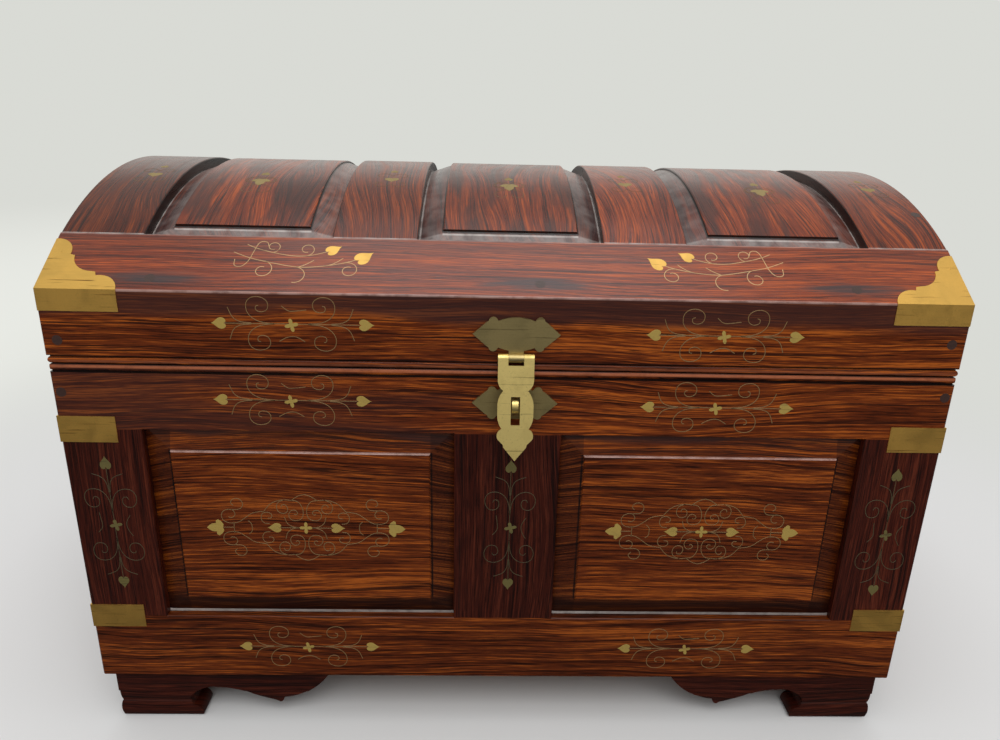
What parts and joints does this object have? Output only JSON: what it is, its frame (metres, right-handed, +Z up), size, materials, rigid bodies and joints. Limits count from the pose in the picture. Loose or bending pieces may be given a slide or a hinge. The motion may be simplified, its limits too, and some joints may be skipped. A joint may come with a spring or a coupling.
{
  "type": "dome-top chest",
  "caption": "Dome-top wooden chest with a hinged lid, framed raised panels, curved lid panels between ribs, brass corners, a hasp and staple, and bracket feet.",
  "frame": {"origin": "on the floor, under the middle of the whole outline (the hasp at rest and the hinges count, so the case itself stands 7 mm behind it)", "axes": "+X along the front to the right as seen from the front, +Y from the front to the back, +Z up"},
  "size_m": [0.6108, 0.4092, 0.4205],
  "materials": {
    "rail_wood": "glossy lacquered rosewood with the grain along the rail",
    "stile_wood": "glossy lacquered dark red-brown rosewood, upright grain",
    "panel_wood": "glossy lacquered rosewood with streaked figure",
    "foot_wood": "dark lacquered rosewood",
    "inner_wood": "plain unpolished wood",
    "plate_brass": "aged satin brass",
    "hasp_brass": "dull aged brass"
  },
  "bodies": {
    "case": {"back_bottom_rail": "rail_wood", "back_centre_stile": "stile_wood", "back_left_panel": "panel_wood", "back_left_stile": "stile_wood", "back_right_panel": "panel_wood", "back_right_stile": "stile_wood", "back_top_rail": "rail_wood", "bottom_board": "inner_wood", "case_corner_straps": "plate_brass", "foot_back_left_bracket": "foot_wood", "foot_back_left_side_bracket": "foot_wood", "foot_back_right_bracket": "foot_wood", "foot_back_right_side_bracket": "foot_wood", "foot_front_left_bracket": "foot_wood", "foot_front_left_side_bracket": "foot_wood", "foot_front_right_bracket": "foot_wood", "foot_front_right_side_bracket": "foot_wood", "foot_glue_blocks": "inner_wood", "front_bottom_rail": "rail_wood", "front_centre_stile": "stile_wood", "front_left_panel": "panel_wood", "front_left_stile": "stile_wood", "front_right_panel": "panel_wood", "front_right_stile": "stile_wood", "front_top_rail": "rail_wood", "hasp_staple": "hasp_brass", "hinge_body_leaves": "plate_brass", "hinge_body_screws": "plate_brass", "hinge_pins": "plate_brass", "left_end_back_stile": "stile_wood", "left_end_bottom_rail": "rail_wood", "left_end_front_stile": "stile_wood", "left_end_panel": "panel_wood", "left_end_top_rail": "rail_wood", "right_end_back_stile": "stile_wood", "right_end_bottom_rail": "rail_wood", "right_end_front_stile": "stile_wood", "right_end_panel": "panel_wood", "right_end_top_rail": "rail_wood", "staple_plate": "hasp_brass"},
    "lid": {"lid_back_rail": "rail_wood", "lid_back_slope_board": "rail_wood", "lid_centre_panel": "panel_wood", "lid_corner_brackets": "plate_brass", "lid_front_rail": "rail_wood", "lid_front_slope_board": "rail_wood", "lid_left_end_board": "rail_wood", "lid_left_end_rib": "stile_wood", "lid_left_middle_rib": "stile_wood", "lid_left_panel": "panel_wood", "lid_right_end_board": "rail_wood", "lid_right_end_rib": "stile_wood", "lid_right_middle_rib": "stile_wood", "lid_right_panel": "panel_wood", "hasp_lid_plate": "hasp_brass", "hasp_pin": "hasp_brass", "hinge_lid_leaves": "plate_brass", "hinge_lid_screws": "plate_brass"},
    "hasp": {"hasp_leaf": "hasp_brass"}
  },
  "joints": [
    {"name": "lid_hinge", "type": "hinge", "parent": "case", "child": "lid", "pos_m": [0, 0.20143, 0.29615], "axis": [-1, 0, 0], "range_deg": [0, 105]},
    {"name": "hasp_hinge", "type": "hinge", "parent": "lid", "child": "hasp", "pos_m": [0.004, -0.18687, 0.3059], "axis": [-1, 0, 0], "range_deg": [-12.5, 146.5]}
  ]
}
